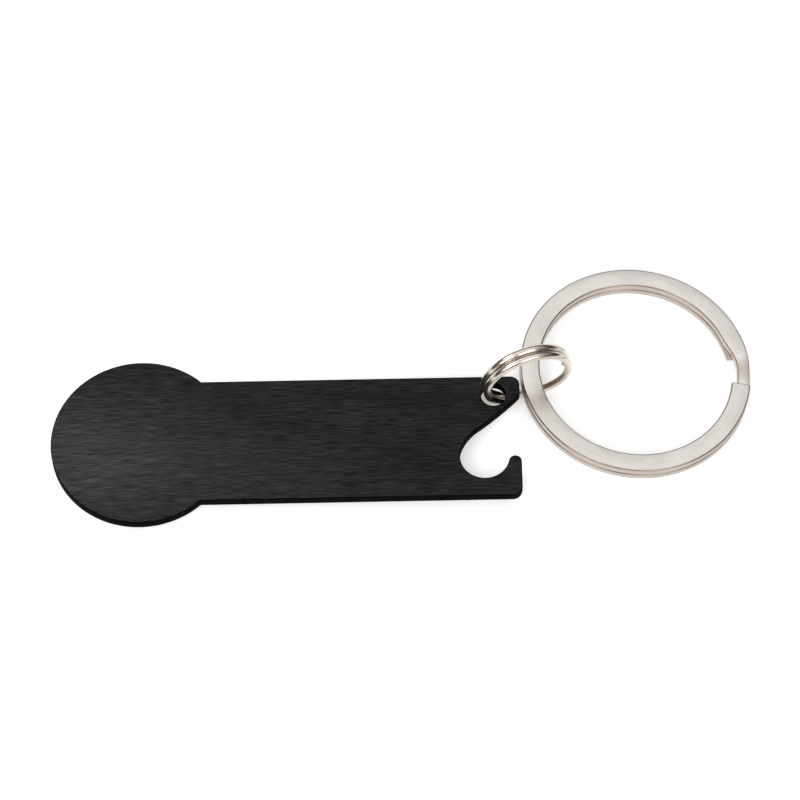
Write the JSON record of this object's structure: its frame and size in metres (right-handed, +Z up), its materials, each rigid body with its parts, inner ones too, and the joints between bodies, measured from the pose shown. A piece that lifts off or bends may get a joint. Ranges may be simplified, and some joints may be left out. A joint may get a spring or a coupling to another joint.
{
  "type": "keychain bottle opener",
  "caption": "Flat black steel bottle opener with a coin-sized head, a hooked cap lifter at the other end, and linked split rings for keys.",
  "frame": {"origin": "on the table that the object lies on, under the middle of the whole object", "axes": "+X along the opener from its round head to the key ring, +Z up from the table; the opener's far end rests on the small ring, so its face leans by about 2 degrees"},
  "size_m": [0.0913, 0.0366, 0.0122],
  "materials": {
    "black_brushed_steel": "black coating over a lengthwise brushed grain, semi-gloss",
    "bright_nickel": "polished nickel plate",
    "satin_nickel": "satin nickel plate"
  },
  "bodies": {
    "opener": {"opener_plate": "black_brushed_steel"},
    "small_ring": {"small_split_ring": "bright_nickel"},
    "key_ring": {"key_split_ring": "satin_nickel"}
  },
  "joints": [
    {"name": "small_ring_turn", "type": "hinge", "parent": "opener", "child": "small_ring", "pos_m": [0.01174, -0.00075, 0.00273], "axis": [0, 0, 1], "range_deg": [-25, 90]},
    {"name": "key_ring_swing", "type": "hinge", "parent": "small_ring", "child": "key_ring", "pos_m": [0.01597, 0.00058, 0.00608], "axis": [0.3024, -0.9532, -0.004], "range_deg": [0, 190]}
  ]
}
